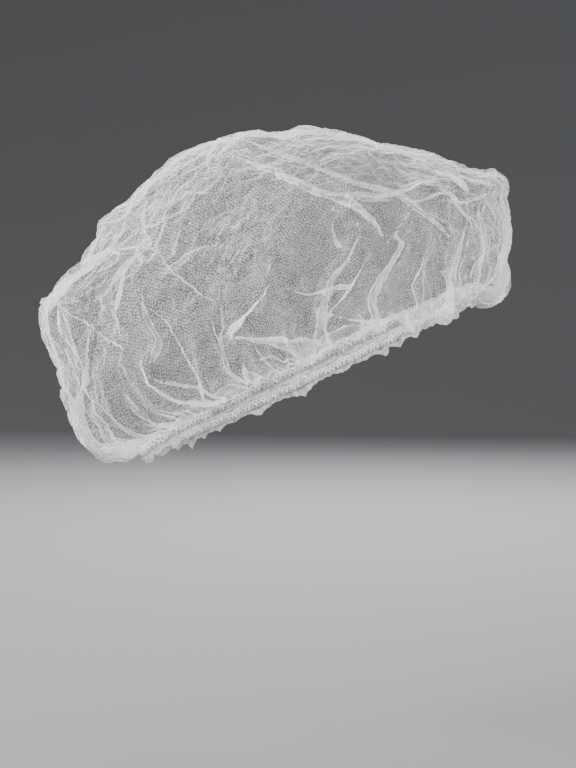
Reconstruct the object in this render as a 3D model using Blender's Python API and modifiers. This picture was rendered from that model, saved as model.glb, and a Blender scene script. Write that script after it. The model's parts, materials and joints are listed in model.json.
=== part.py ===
"""Disposable hair cover cap: a disc of thin non-woven cloth drawn in by an elastic in its hem.

Metres, +Z up, in the form it has when worn. The front faces -Y and the wearer's right is -X.
The origin is the centre of the elastic's loop, which is the opening that the wearer puts on.
"""

import math
from typing import NamedTuple

import bmesh
import bpy
from mathutils import Vector

# The opening, which is the loop along the middle of the elastic
OPENING_LENGTH = 0.196
OPENING_WIDTH = 0.152
OPENING_TILT = math.radians(26.5)

# The crown: its height over the middle of the opening, and how far it bags out past the elastic
CROWN_HEIGHT = 0.126
FRONT_BAG_DEPTH = 0.0198
BACK_BAG_DEPTH = 0.0573
SIDE_BAG_DEPTH = 0.024

# The cloth and the elastic
CLOTH_THICKNESS = 0.001
ELASTIC_WIDTH = 0.004
ELASTIC_THICKNESS = 0.0008
CLEARANCE = 0.0003

# The hem: a channel round the elastic, closed above it and hanging below it as a small frill
FLAP_RISE = 0.0015
FRILL_DROP = 0.0025
FRILL_SWAY = 0.0011
FRILL_SCALLOP = 0.3

# Gathers, which the elastic draws the cloth into
GATHER_COUNT = 26
GATHER_DEPTH = 0.0030
GATHER_DRIFT = 0.35

# Levels on the crown, 0 at the hem and 1 at the top
GATHER_FULL_LEVEL = 0.09
GATHER_FADE_LEVEL = 0.12
GATHER_END_LEVEL = 0.34
GATHER_END_SPREAD = 0.08
CREASE_FULL_LEVEL = 0.08
DRIFT_START_LEVEL = 0.05
DRIFT_FULL_LEVEL = 0.5

# Creases, where slack cloth stands up in a ridge
CREASE_HEIGHT = 0.0075
CREASE_WIDTH = 0.011

# Mesh rows and columns
COLUMNS_PER_GATHER = 4
RINGS_PER_SECTION = 2
CREASE_STEPS = 4
ELASTIC_COLUMNS = 2 * GATHER_COUNT

HALF_LENGTH = OPENING_LENGTH / 2
HALF_WIDTH = OPENING_WIDTH / 2
HEM_REACH = HALF_LENGTH * math.cos(OPENING_TILT)
CHANNEL_HALF = (ELASTIC_THICKNESS + CLOTH_THICKNESS) / 2 + CLEARANCE
FRILL_HALF = 0.7 * CHANNEL_HALF
CHANNEL_TOP = ELASTIC_WIDTH / 2 + FLAP_RISE
CHANNEL_FLOOR = -ELASTIC_WIDTH / 2 - CLEARANCE - CLOTH_THICKNESS


class Section(NamedTuple):
    """One ring of the crown, in shares of the named sizes.

    The rises are shares of the way from the hem to the top of the crown, below the hem if
    less than 0. front, back and side are shares of how far the cloth bags out past the
    elastic that way in BAG_SECTIONS, and of the crown's whole reach in DOME_SECTIONS.
    """

    front_rise: float
    side_rise: float
    back_rise: float
    front: float
    back: float
    side: float


BAG_SECTIONS = (
    Section(-0.06, 0.035, -0.03, 0.59, 0.29, 0.375),
    Section(0.01, 0.09, 0.00, 0.84, 0.545, 0.69),
    Section(0.19, 0.19, 0.105, 0.92, 0.75, 0.92),
    Section(0.38, 0.33, 0.24, 0.98, 0.875, 1.00),
)
DOME_SECTIONS = (
    Section(0.56, 0.50, 0.44, 0.97, 1.00, 0.98),
    Section(0.69, 0.63, 0.595, 0.955, 0.85, 0.92),
    Section(0.79, 0.75, 0.735, 0.74, 0.73, 0.81),
    Section(0.88, 0.85, 0.855, 0.55, 0.59, 0.66),
    Section(0.93, 0.93, 0.94, 0.36, 0.455, 0.46),
    Section(0.97, 0.98, 0.99, 0.18, 0.27, 0.24),
    Section(1.00, 1.00, 1.00, 0.00, 0.00, 0.00),
)
SECTION_COUNT = len(BAG_SECTIONS) + len(DOME_SECTIONS)


class Crease(NamedTuple):
    """A ridge of slack cloth through a few places on the crown.

    A place is (turn, level). turn goes once round from the front by the wearer's right, and
    level goes from the hem, 0, to the top, 1. height and width are shares of CREASE_HEIGHT
    and CREASE_WIDTH.
    """

    height: float
    width: float
    places: tuple


RIGHT_CREASES = (
    Crease(1.0, 1.1, ((0.38, 0.83), (0.29, 0.78), (0.20, 0.57), (0.16, 0.38))),
    Crease(0.7, 0.9, ((0.20, 0.58), (0.14, 0.55), (0.09, 0.52))),
    Crease(1.0, 1.0, ((0.13, 0.47), (0.15, 0.38), (0.16, 0.25), (0.16, 0.06))),
    Crease(1.0, 1.0, ((0.18, 0.47), (0.19, 0.36), (0.20, 0.22), (0.20, 0.06))),
    Crease(1.0, 1.0, ((0.24, 0.40), (0.27, 0.29), (0.27, 0.06))),
    Crease(1.1, 1.2, ((0.27, 0.29), (0.23, 0.21), (0.20, 0.06))),
    Crease(0.6, 0.9, ((0.32, 0.53), (0.28, 0.38), (0.27, 0.25))),
    Crease(0.8, 1.0, ((0.32, 0.43), (0.31, 0.33), (0.32, 0.29))),
    Crease(1.1, 1.2, ((0.32, 0.30), (0.32, 0.19), (0.30, 0.04))),
    Crease(0.7, 1.0, ((0.32, 0.30), (0.30, 0.19), (0.27, 0.05))),
)
BACK_CREASES = (
    Crease(0.8, 1.0, ((0.42, 0.46), (0.37, 0.40), (0.34, 0.33))),
    Crease(0.8, 1.0, ((0.37, 0.39), (0.38, 0.30), (0.40, 0.20))),
    Crease(0.9, 1.0, ((0.37, 0.62), (0.34, 0.55), (0.34, 0.43))),
    Crease(0.8, 1.1, ((0.46, 0.58), (0.48, 0.40), (0.46, 0.18))),
    Crease(0.9, 1.1, ((0.53, 0.62), (0.52, 0.44), (0.54, 0.22))),
    Crease(0.8, 1.0, ((0.58, 0.48), (0.62, 0.40), (0.64, 0.26))),
    Crease(0.8, 1.0, ((0.57, 0.30), (0.60, 0.10))),
)
LEFT_CREASES = (
    Crease(1.0, 1.1, ((0.62, 0.80), (0.71, 0.72), (0.79, 0.55), (0.84, 0.36))),
    Crease(0.7, 0.9, ((0.79, 0.55), (0.86, 0.52), (0.92, 0.50))),
    Crease(1.0, 1.0, ((0.85, 0.45), (0.84, 0.28), (0.85, 0.06))),
    Crease(1.0, 1.0, ((0.76, 0.42), (0.73, 0.27), (0.74, 0.06))),
    Crease(1.1, 1.2, ((0.73, 0.27), (0.78, 0.19), (0.81, 0.05))),
    Crease(0.8, 1.0, ((0.68, 0.50), (0.66, 0.33), (0.67, 0.08))),
)
FRONT_CREASES = (
    Crease(0.9, 1.0, ((0.04, 0.67), (0.08, 0.52), (0.03, 0.42))),
    Crease(0.7, 1.0, ((0.10, 0.26), (0.10, 0.08))),
    Crease(0.8, 1.0, ((0.97, 0.62), (0.98, 0.42), (0.96, 0.22))),
    Crease(0.7, 1.0, ((0.02, 0.35), (0.03, 0.12))),
    Crease(0.7, 1.0, ((0.93, 0.34), (0.92, 0.08))),
)
TOP_CREASES = (
    Crease(0.6, 1.1, ((0.10, 0.70), (0.02, 0.84), (-0.10, 0.90))),
    Crease(0.6, 1.1, ((0.45, 0.75), (0.50, 0.88), (0.60, 0.92))),
)
CREASES = RIGHT_CREASES + BACK_CREASES + LEFT_CREASES + FRONT_CREASES + TOP_CREASES


def shares_round(turn):
    """Return how far to the wearer's left and how far forward a turn points."""
    angle = 2 * math.pi * turn
    return -math.sin(angle), math.cos(angle)


def loop_frame(turn):
    """Return the loop's point at a turn, the way out of the loop there, and the loop's axis."""
    left, forward = shares_round(turn)
    back_way = Vector((0, math.cos(OPENING_TILT), -math.sin(OPENING_TILT)))
    axis = Vector((0, math.sin(OPENING_TILT), math.cos(OPENING_TILT)))
    point = Vector((HALF_WIDTH * left, 0, 0)) - HALF_LENGTH * forward * back_way
    outward = Vector((left / HALF_WIDTH, 0, 0)) - forward / HALF_LENGTH * back_way
    return point, outward.normalized(), axis


def hem_point(turn, out, up):
    """Return the point at out and up from the elastic's middle line."""
    point, outward, axis = loop_frame(turn)
    return point + out * outward + up * axis


def section_height(forward, section):
    """Return the height of a section where it points forward by a share, -1 to 1."""
    heights = []
    for hem_turn, rise in ((0.0, section.front_rise), (0.25, section.side_rise), (0.5, section.back_rise)):
        hem = hem_point(hem_turn, CHANNEL_HALF, CHANNEL_TOP).z
        heights.append(hem + rise * (CROWN_HEIGHT - hem))
    front_z, side_z, back_z = heights
    slope = (front_z - back_z) / 2
    bow = (front_z + back_z) / 2 - side_z
    return side_z + slope * forward + bow * forward * forward


def bag_point(turn, section):
    """Return where a section of the bag, which hangs out past the elastic, passes a turn."""
    left, forward = shares_round(turn)
    bag = section.front * FRONT_BAG_DEPTH if forward > 0 else section.back * BACK_BAG_DEPTH
    reach = HEM_REACH + bag
    side = HALF_WIDTH + section.side * SIDE_BAG_DEPTH
    return Vector((side * left, -reach * forward, section_height(forward, section)))


def dome_point(turn, section):
    """Return where a section of the dome over the bag passes a turn."""
    left, forward = shares_round(turn)
    front = section.front * (HEM_REACH + FRONT_BAG_DEPTH)
    back = section.back * (HEM_REACH + BACK_BAG_DEPTH)
    side = section.side * (HALF_WIDTH + SIDE_BAG_DEPTH)
    reach = front if forward > 0 else back
    return Vector((side * left, -reach * forward, section_height(forward, section)))


def column_points(turn):
    """Return the crown's points up one turn, with one more past each end for the curve."""
    below = hem_point(turn, CHANNEL_HALF, 0.0)
    hem = hem_point(turn, CHANNEL_HALF, CHANNEL_TOP)
    bag = [bag_point(turn, section) for section in BAG_SECTIONS]
    dome = [dome_point(turn, section) for section in DOME_SECTIONS]
    over = dome_point(turn + 0.5, DOME_SECTIONS[-2])
    return [below, hem, *bag, *dome, over]


def smooth_point(points, place):
    """Return the point at a place, counted in sections, on the smooth curve through points."""
    first = min(int(place), len(points) - 4)
    share = place - first
    before, start, end, after = points[first:first + 4]
    rise = (end - before) / 2
    fall = (after - start) / 2
    square = share * share
    cube = square * share
    return (
        start * (2 * cube - 3 * square + 1)
        + rise * (cube - 2 * square + share)
        + end * (3 * square - 2 * cube)
        + fall * (cube - square)
    )


def crown_point(turn, level):
    """Return the point of the smooth crown, without its gathers and creases."""
    return smooth_point(column_points(turn), level * SECTION_COUNT)


def crown_normal(turn, level):
    """Return the way out of the smooth crown."""
    step = 0.002
    low = max(level - step, 0.0)
    high = min(level + step, 1.0)
    if level > 1 - step:
        return Vector((0, 0, 1))
    along = crown_point(turn + step, level) - crown_point(turn - step, level)
    upward = crown_point(turn, high) - crown_point(turn, low)
    return upward.cross(along).normalized()


def fade(value, start, end):
    """Return a smooth share that goes from 0 at start to 1 at end."""
    share = min(max((value - start) / (end - start), 0.0), 1.0)
    return share * share * (3 - 2 * share)


def gather_wave(turn):
    """Return the gathers' height at a turn, from -1 to 1, with some gathers fuller."""
    fullness = 0.75 + 0.17 * math.sin(2 * math.pi * 5 * turn) + 0.08 * math.cos(2 * math.pi * 9 * turn)
    return fullness * math.cos(2 * math.pi * GATHER_COUNT * turn)


def gather_height(turn, level):
    """Return how far a gather lifts the cloth, none at the hem and none high on the crown."""
    end = GATHER_END_LEVEL + GATHER_END_SPREAD * math.sin(2 * math.pi * 3 * turn + 1.0)
    strength = fade(level, 0.0, GATHER_FULL_LEVEL) * (1 - fade(level, GATHER_FADE_LEVEL, end))
    return GATHER_DEPTH * strength * gather_wave(turn)


def crease_path(crease):
    """Return points along a crease on the smooth crown."""
    path = []
    for (turn, level), (next_turn, next_level) in zip(crease.places, crease.places[1:]):
        for step in range(CREASE_STEPS):
            share = step / CREASE_STEPS
            path.append(crown_point(turn + share * (next_turn - turn), level + share * (next_level - level)))
    path.append(crown_point(*crease.places[-1]))
    return path


def distance_to_path(point, path):
    """Return the distance from a point to the nearest piece of a path."""
    nearest = math.inf
    for start, end in zip(path, path[1:]):
        run = end - start
        share = min(max((point - start).dot(run) / run.length_squared, 0.0), 1.0)
        nearest = min(nearest, (point - start - share * run).length)
    return nearest


def crease_height(point, creases):
    """Return how far the creases near a point lift the cloth there."""
    height = 0.0
    for crease, path in creases:
        width = crease.width * CREASE_WIDTH
        distance = distance_to_path(point, path)
        if distance < width:
            height = max(height, crease.height * CREASE_HEIGHT * (1 - distance / width))
    return height


def spread_turn(column, columns, level):
    """Return a column's turn, moved a little so that the gathers fan out unevenly."""
    turn = column / columns
    drift = GATHER_DRIFT / GATHER_COUNT * math.sin(2 * math.pi * 3 * turn + 0.6)
    return turn + drift * fade(level, DRIFT_START_LEVEL, DRIFT_FULL_LEVEL)


def hem_rings():
    """Return the rings of the hem, from the flap's free edge round the elastic and up outside."""
    columns = GATHER_COUNT * COLUMNS_PER_GATHER
    profile = (
        (-CHANNEL_HALF, CHANNEL_TOP, 0.0),
        (-CHANNEL_HALF, CHANNEL_FLOOR, 0.0),
        (-FRILL_HALF, CHANNEL_FLOOR, 1.0),
        (FRILL_HALF, CHANNEL_FLOOR, 1.0),
        (CHANNEL_HALF, CHANNEL_FLOOR, 0.0),
        (CHANNEL_HALF, (CHANNEL_FLOOR + CHANNEL_TOP) / 2, 0.0),
    )
    rings = []
    for out, up, frill in profile:
        ring = []
        for column in range(columns):
            turn = column / columns
            wave = gather_wave(turn)
            drop = frill * FRILL_DROP * (1 - FRILL_SCALLOP + FRILL_SCALLOP * wave)
            ring.append(hem_point(turn, out + frill * FRILL_SWAY * wave, up - drop))
        rings.append(ring)
    return rings


def crown_rings():
    """Return the rings of the crown from the hem to just below its top."""
    creases = [(crease, crease_path(crease)) for crease in CREASES]
    columns = GATHER_COUNT * COLUMNS_PER_GATHER
    steps = SECTION_COUNT * RINGS_PER_SECTION
    rings = []
    for step in range(steps):
        level = step / steps
        if step >= steps - 2:
            count = columns // 4
        elif step >= steps - 5:
            count = columns // 2
        else:
            count = columns
        ring = []
        for column in range(count):
            turn = spread_turn(column, count, level)
            point = crown_point(turn, level)
            lift = gather_height(column / count, level)
            lift += crease_height(point, creases) * fade(level, 0.0, CREASE_FULL_LEVEL)
            ring.append(point + lift * crown_normal(turn, level))
        rings.append(ring)
    return rings


def join_rings(mesh, lower, upper):
    """Fill the strip between two rings, where the upper has as many corners or half as many."""
    count = len(lower)
    ratio = count // len(upper)
    for corner in range(len(upper)):
        following = (corner + 1) % len(upper)
        start = lower[corner * ratio]
        end = lower[(corner + 1) * ratio % count]
        if ratio == 1:
            mesh.faces.new((start, end, upper[following], upper[corner]))
        else:
            between = lower[corner * ratio + 1]
            mesh.faces.new((start, between, upper[corner]))
            mesh.faces.new((between, upper[following], upper[corner]))
            mesh.faces.new((between, end, upper[following]))


def cloth_material():
    """Return the material of the white non-woven cloth."""
    material = bpy.data.materials.new("nonwoven_cloth")
    material.use_nodes = True
    shader = material.node_tree.nodes["Principled BSDF"]
    shader.inputs["Base Color"].default_value = (0.86, 0.87, 0.88, 1.0)
    shader.inputs["Roughness"].default_value = 0.75
    shader.inputs["Metallic"].default_value = 0.0
    return material


def elastic_material():
    """Return the material of the white elastic."""
    material = bpy.data.materials.new("elastic_rubber")
    material.use_nodes = True
    shader = material.node_tree.nodes["Principled BSDF"]
    shader.inputs["Base Color"].default_value = (0.82, 0.82, 0.80, 1.0)
    shader.inputs["Roughness"].default_value = 0.6
    shader.inputs["Metallic"].default_value = 0.0
    return material


def add_sheet(name, rings, top, thickness, material, collection):
    """Add a sheet through rings, closed over by a fan to top if given, and give it its thickness."""
    mesh = bmesh.new()
    corners = [[mesh.verts.new(point) for point in ring] for ring in rings]
    for lower, upper in zip(corners, corners[1:]):
        join_rings(mesh, lower, upper)
    if top is not None:
        peak = mesh.verts.new(top)
        last = corners[-1]
        for corner, vertex in enumerate(last):
            mesh.faces.new((vertex, last[(corner + 1) % len(last)], peak))
    bmesh.ops.recalc_face_normals(mesh, faces=mesh.faces)
    data = bpy.data.meshes.new(name)
    mesh.to_mesh(data)
    mesh.free()
    data.materials.append(material)
    data.shade_smooth()
    sheet = bpy.data.objects.new(name, data)
    collection.objects.link(sheet)
    solidify = sheet.modifiers.new("thickness", "SOLIDIFY")
    solidify.thickness = thickness
    solidify.offset = 0.0
    return sheet


def add_crown(collection):
    """Add the crown: one sheet from the flap inside the hem to the top."""
    top = crown_point(0.0, 1.0)
    rings = hem_rings() + crown_rings()
    return add_sheet("crown", rings, top, CLOTH_THICKNESS, cloth_material(), collection)


def add_elastic(collection):
    """Add the elastic: a flat band that lies loose in the channel of the hem."""
    rings = []
    for up in (-ELASTIC_WIDTH / 2, ELASTIC_WIDTH / 2):
        rings.append([hem_point(column / ELASTIC_COLUMNS, 0.0, up) for column in range(ELASTIC_COLUMNS)])
    return add_sheet("elastic_band", rings, None, ELASTIC_THICKNESS, elastic_material(), collection)


def main():
    """Clear the scene and build the cap in a collection of its own."""
    for item in list(bpy.data.objects):
        bpy.data.objects.remove(item, do_unlink=True)
    collection = bpy.data.collections.new("hair_cover_cap")
    bpy.context.scene.collection.children.link(collection)
    add_crown(collection)
    add_elastic(collection)


main()
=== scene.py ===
"""Looks of the disposable hair cover cap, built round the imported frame.

The cap is one disc of sheer non-woven cloth that an elastic in its hem draws in. The cloth is
laid out as a flat disc of rings, each ring is carried to its place on the worn crown, the
gathers, pleats and crumples are folded into it, and it is left to settle. Metres, +Z up, the
front faces -Y.
"""

from __future__ import annotations

import json
import logging
import math
from dataclasses import dataclass, field
from enum import Enum

import bpy
import numpy as np
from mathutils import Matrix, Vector

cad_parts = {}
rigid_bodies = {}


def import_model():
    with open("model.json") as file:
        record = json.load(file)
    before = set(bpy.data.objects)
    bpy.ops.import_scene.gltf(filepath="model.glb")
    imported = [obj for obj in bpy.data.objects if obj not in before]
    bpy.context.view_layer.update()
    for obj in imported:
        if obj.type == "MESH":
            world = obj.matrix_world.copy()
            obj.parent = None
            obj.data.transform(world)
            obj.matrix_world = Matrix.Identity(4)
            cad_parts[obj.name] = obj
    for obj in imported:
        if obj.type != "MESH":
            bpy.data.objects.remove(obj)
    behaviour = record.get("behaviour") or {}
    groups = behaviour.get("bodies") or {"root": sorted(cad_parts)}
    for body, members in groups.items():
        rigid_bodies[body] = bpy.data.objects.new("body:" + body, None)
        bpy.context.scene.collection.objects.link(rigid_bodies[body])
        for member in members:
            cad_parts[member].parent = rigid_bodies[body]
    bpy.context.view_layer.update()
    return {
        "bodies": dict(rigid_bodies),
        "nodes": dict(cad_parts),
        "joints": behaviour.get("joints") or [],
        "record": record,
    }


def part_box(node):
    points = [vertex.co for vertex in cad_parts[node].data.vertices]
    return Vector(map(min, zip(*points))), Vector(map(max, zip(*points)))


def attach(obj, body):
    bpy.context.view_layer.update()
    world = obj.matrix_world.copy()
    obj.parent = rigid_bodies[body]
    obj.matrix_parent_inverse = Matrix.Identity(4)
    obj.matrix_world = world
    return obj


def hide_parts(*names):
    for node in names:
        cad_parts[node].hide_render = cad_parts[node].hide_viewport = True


LOG = logging.getLogger("hair_cover_cap")
TAU = 2 * math.pi
Array = np.ndarray
Socket = bpy.types.NodeSocket

FOLD_WIDTH = 0.010
FOLD_HEIGHT = 0.004
GATHER_REACH = 0.010
RIBBON_HALF = 0.005
RIBBON_FAR = 3.0  # half widths from a ribbon at which the cloth counts as off it
PATCH_RADIUS = 0.05
ELASTIC_THICKNESS = 0.0008
ELASTIC_HALF_WIDTH = 0.002


class Fall(Enum):
    """Which way a pleat lies over, seen along its places from first to last."""

    LEFT = -1
    RIGHT = 1


@dataclass(frozen=True)
class Section:
    """One ring of the crown, in shares of the crown's sizes.

    The rises are shares of the way from the hem to the top. front, back and side are shares
    of the bag past the elastic in a bag section, and of the whole reach in a dome section.
    """

    front_rise: float
    side_rise: float
    back_rise: float
    front: float
    back: float
    side: float


BAG_SECTIONS = (
    Section(-0.06, 0.035, -0.03, 0.59, 0.29, 0.375),
    Section(0.01, 0.09, 0.00, 0.84, 0.545, 0.69),
    Section(0.19, 0.19, 0.105, 0.92, 0.75, 0.92),
    Section(0.38, 0.33, 0.24, 0.98, 0.875, 1.00),
)
DOME_SECTIONS = (
    Section(0.56, 0.50, 0.44, 0.97, 1.00, 0.98),
    Section(0.69, 0.63, 0.595, 0.955, 0.85, 0.92),
    Section(0.79, 0.75, 0.735, 0.74, 0.73, 0.81),
    Section(0.88, 0.85, 0.855, 0.55, 0.59, 0.66),
    Section(0.93, 0.93, 0.94, 0.36, 0.455, 0.46),
    Section(0.97, 0.98, 0.99, 0.18, 0.27, 0.24),
    Section(1.00, 1.00, 1.00, 0.00, 0.00, 0.00),
)


@dataclass(frozen=True)
class Pleat:
    """A fold of slack cloth through a few places on the crown.

    width, height and ribbon, the half width where the cloth lies double, are shares of
    FOLD_WIDTH, FOLD_HEIGHT and RIBBON_HALF. A place is (turn, level): turn goes once round
    from the front by the wearer's right, and level goes from the hem, 0, to the top, 1.
    """

    width: float
    height: float
    fall: Fall
    places: tuple[tuple[float, float], ...]
    ribbon: float = 0.28


@dataclass(frozen=True)
class Crumple:
    """Crumples of one fineness, as shares of FOLD_WIDTH and FOLD_HEIGHT."""

    cell: float
    height: float


@dataclass(frozen=True)
class Gather:
    """Gathers of one fineness.

    count is how many go round. height is a share of FOLD_HEIGHT, and full and gone, how far
    from the hem they are fully grown and have faded, are shares of GATHER_REACH.
    """

    count: int
    height: float
    full: float
    gone: float


class Lie(Enum):
    """Which way the fine creases of a patch run on the cut disc."""

    RAYS = 0
    LENGTHWISE = 1


@dataclass(frozen=True)
class CreasePatch:
    """A patch of fine creases round a place, its radius a share of PATCH_RADIUS."""

    turn: float
    level: float
    radius: float
    strength: float


CRUMPLES = (Crumple(3.0, 0.40), Crumple(1.5, 0.225), Crumple(0.75, 0.10))
GATHERS = (
    Gather(26, 0.65, 1.80, 6.0),
    Gather(52, 0.45, 1.20, 3.4),
    Gather(104, 0.30, 0.08, 1.8),
    Gather(150, 0.15, 0.03, 0.8),
)
L, R = Fall.LEFT, Fall.RIGHT
RIGHT_PLEATS = (
    Pleat(0.85, 0.70, R, ((0.40, 0.86), (0.34, 0.81), (0.285, 0.77), (0.215, 0.62), (0.19, 0.55),
            (0.165, 0.45), (0.155, 0.38)), 0.60),
    Pleat(0.55, 0.40, L, ((0.20, 0.58), (0.165, 0.56), (0.135, 0.55), (0.09, 0.52))),
    Pleat(0.50, 0.35, R, ((0.19, 0.55), (0.165, 0.53), (0.145, 0.53))),
    Pleat(0.80, 0.75, R, ((0.13, 0.47), (0.15, 0.41), (0.145, 0.38), (0.155, 0.32), (0.165, 0.25),
            (0.165, 0.16), (0.16, 0.04)), 0.68),
    Pleat(0.55, 0.45, L, ((0.20, 0.54), (0.195, 0.46), (0.19, 0.40))),
    Pleat(0.75, 0.70, L, ((0.185, 0.49), (0.175, 0.43), (0.185, 0.37), (0.195, 0.34), (0.20, 0.28),
            (0.205, 0.20), (0.20, 0.02)), 0.72),
    Pleat(0.75, 0.70, R, ((0.24, 0.40), (0.255, 0.34), (0.27, 0.29)), 0.60),
    Pleat(0.95, 0.85, L, ((0.27, 0.29), (0.255, 0.265), (0.235, 0.22), (0.215, 0.15), (0.205, 0.03)), 0.92),
    Pleat(0.65, 0.65, R, ((0.27, 0.30), (0.272, 0.25), (0.27, 0.16), (0.262, 0.03)), 0.52),
    Pleat(0.55, 0.45, L, ((0.262, 0.22), (0.262, 0.12), (0.255, 0.03))),
    Pleat(0.50, 0.45, R, ((0.262, 0.22), (0.24, 0.16), (0.225, 0.10), (0.222, 0.03))),
    Pleat(0.50, 0.45, R, ((0.325, 0.54), (0.30, 0.45), (0.275, 0.37))),
    Pleat(0.55, 0.45, L, ((0.285, 0.39), (0.277, 0.33), (0.272, 0.26), (0.27, 0.12))),
    Pleat(0.70, 0.65, L, ((0.32, 0.44), (0.317, 0.38), (0.31, 0.33), (0.318, 0.28)), 0.48),
    Pleat(1.00, 0.85, R, ((0.325, 0.31), (0.323, 0.25), (0.315, 0.14), (0.30, 0.03)), 1.00),
    Pleat(0.55, 0.50, L, ((0.325, 0.30), (0.305, 0.20), (0.285, 0.12), (0.27, 0.03))),
    Pleat(0.45, 0.35, R, ((0.375, 0.41), (0.355, 0.37), (0.335, 0.33))),
    Pleat(0.45, 0.35, L, ((0.165, 0.20), (0.185, 0.17), (0.205, 0.17))),
    Pleat(0.45, 0.35, R, ((0.18, 0.28), (0.175, 0.16), (0.18, 0.05))),
    Pleat(0.60, 0.50, R, ((0.145, 0.22), (0.135, 0.12), (0.13, 0.03))),
    Pleat(0.45, 0.35, L, ((0.14, 0.12), (0.115, 0.14), (0.095, 0.12))),
    Pleat(0.50, 0.40, L, ((0.10, 0.27), (0.095, 0.20), (0.10, 0.08))),
)
BACK_PLEATS = (
    Pleat(0.60, 0.55, R, ((0.42, 0.47), (0.38, 0.42), (0.365, 0.39))),
    Pleat(0.60, 0.55, L, ((0.365, 0.40), (0.375, 0.31), (0.40, 0.26), (0.41, 0.12))),
    Pleat(0.60, 0.50, R, ((0.385, 0.66), (0.37, 0.62), (0.34, 0.55), (0.335, 0.44), (0.34, 0.36))),
    Pleat(0.55, 0.45, L, ((0.34, 0.55), (0.375, 0.545), (0.40, 0.56))),
    Pleat(0.80, 0.70, R, ((0.46, 0.60), (0.475, 0.46), (0.47, 0.34), (0.455, 0.18), (0.46, 0.05)), 0.52),
    Pleat(0.80, 0.70, L, ((0.53, 0.64), (0.52, 0.50), (0.525, 0.36), (0.54, 0.22), (0.535, 0.06)), 0.56),
    Pleat(0.60, 0.55, R, ((0.49, 0.44), (0.50, 0.30), (0.495, 0.14))),
    Pleat(0.65, 0.60, L, ((0.58, 0.48), (0.62, 0.40), (0.64, 0.26), (0.635, 0.10)), 0.44),
    Pleat(0.65, 0.60, R, ((0.57, 0.32), (0.585, 0.20), (0.60, 0.06))),
    Pleat(0.55, 0.45, R, ((0.43, 0.30), (0.43, 0.16), (0.435, 0.04))),
    Pleat(0.50, 0.40, L, ((0.44, 0.47), (0.50, 0.45), (0.56, 0.46))),
)
LEFT_PLEATS = (
    Pleat(0.85, 0.70, L, ((0.61, 0.84), (0.66, 0.79), (0.715, 0.72), (0.785, 0.58), (0.81, 0.48),
            (0.84, 0.36)), 0.44),
    Pleat(0.55, 0.45, R, ((0.79, 0.56), (0.84, 0.54), (0.91, 0.51))),
    Pleat(0.80, 0.75, L, ((0.86, 0.46), (0.845, 0.38), (0.84, 0.28), (0.85, 0.16), (0.85, 0.04)), 0.48),
    Pleat(0.75, 0.70, R, ((0.765, 0.42), (0.735, 0.30), (0.73, 0.24), (0.74, 0.04)), 0.44),
    Pleat(0.95, 0.85, R, ((0.735, 0.28), (0.755, 0.235), (0.78, 0.17), (0.80, 0.04)), 0.60),
    Pleat(0.60, 0.55, L, ((0.685, 0.52), (0.665, 0.40), (0.66, 0.28), (0.67, 0.05))),
    Pleat(0.80, 0.70, L, ((0.68, 0.30), (0.69, 0.18), (0.71, 0.04)), 0.48),
    Pleat(0.55, 0.45, R, ((0.81, 0.40), (0.80, 0.28), (0.815, 0.12))),
    Pleat(0.50, 0.40, L, ((0.88, 0.30), (0.875, 0.18), (0.885, 0.05))),
    Pleat(0.45, 0.35, R, ((0.70, 0.40), (0.72, 0.36), (0.75, 0.36))),
)
FRONT_PLEATS = (
    Pleat(0.65, 0.60, L, ((0.12, 0.70), (0.075, 0.64), (0.08, 0.52), (0.04, 0.45), (0.015, 0.38)), 0.40),
    Pleat(0.55, 0.50, R, ((0.045, 0.52), (0.06, 0.40), (0.045, 0.26))),
    Pleat(0.70, 0.65, R, ((0.97, 0.64), (0.98, 0.50), (0.965, 0.36), (0.97, 0.20)), 0.44),
    Pleat(0.60, 0.55, L, ((0.015, 0.38), (0.02, 0.24), (0.03, 0.08))),
    Pleat(0.60, 0.55, R, ((0.935, 0.52), (0.94, 0.36), (0.925, 0.20), (0.92, 0.06))),
    Pleat(0.55, 0.45, L, ((0.90, 0.60), (0.95, 0.56), (0.99, 0.58))),
    Pleat(0.50, 0.45, L, ((0.06, 0.30), (0.07, 0.18), (0.06, 0.06))),
)
TOP_PLEATS = (
    Pleat(0.60, 0.35, R, ((0.10, 0.72), (0.04, 0.82), (-0.06, 0.90), (-0.22, 0.92))),
    Pleat(0.55, 0.30, L, ((0.46, 0.74), (0.49, 0.84), (0.60, 0.92), (0.75, 0.93))),
    Pleat(0.50, 0.30, R, ((0.62, 0.70), (0.57, 0.82), (0.50, 0.90))),
    Pleat(0.50, 0.30, L, ((0.90, 0.72), (0.92, 0.82), (0.99, 0.90))),
)
CREASE_PATCHES = {
    Lie.LENGTHWISE: (
        CreasePatch(0.24, 0.80, 0.80, 1.0),
        CreasePatch(0.14, 0.72, 0.76, 1.0),
        CreasePatch(0.08, 0.62, 0.60, 0.8),
        CreasePatch(0.10, 0.88, 0.80, 0.7),
        CreasePatch(0.72, 0.78, 0.90, 0.9),
        CreasePatch(0.88, 0.70, 0.90, 0.9),
        CreasePatch(0.60, 0.88, 0.90, 0.6),
    ),
    Lie.RAYS: (
        CreasePatch(0.345, 0.64, 0.60, 0.9),
        CreasePatch(0.350, 0.48, 0.52, 1.0),
        CreasePatch(0.400, 0.52, 0.70, 0.8),
        CreasePatch(0.300, 0.66, 0.44, 0.5),
        CreasePatch(0.125, 0.34, 0.44, 0.7),
        CreasePatch(0.500, 0.60, 0.90, 0.8),
        CreasePatch(0.500, 0.30, 0.90, 0.7),
        CreasePatch(0.430, 0.20, 0.70, 0.7),
        CreasePatch(0.660, 0.52, 0.80, 0.9),
        CreasePatch(0.850, 0.34, 0.70, 0.7),
        CreasePatch(0.980, 0.45, 0.70, 0.7),
    ),
}


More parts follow.
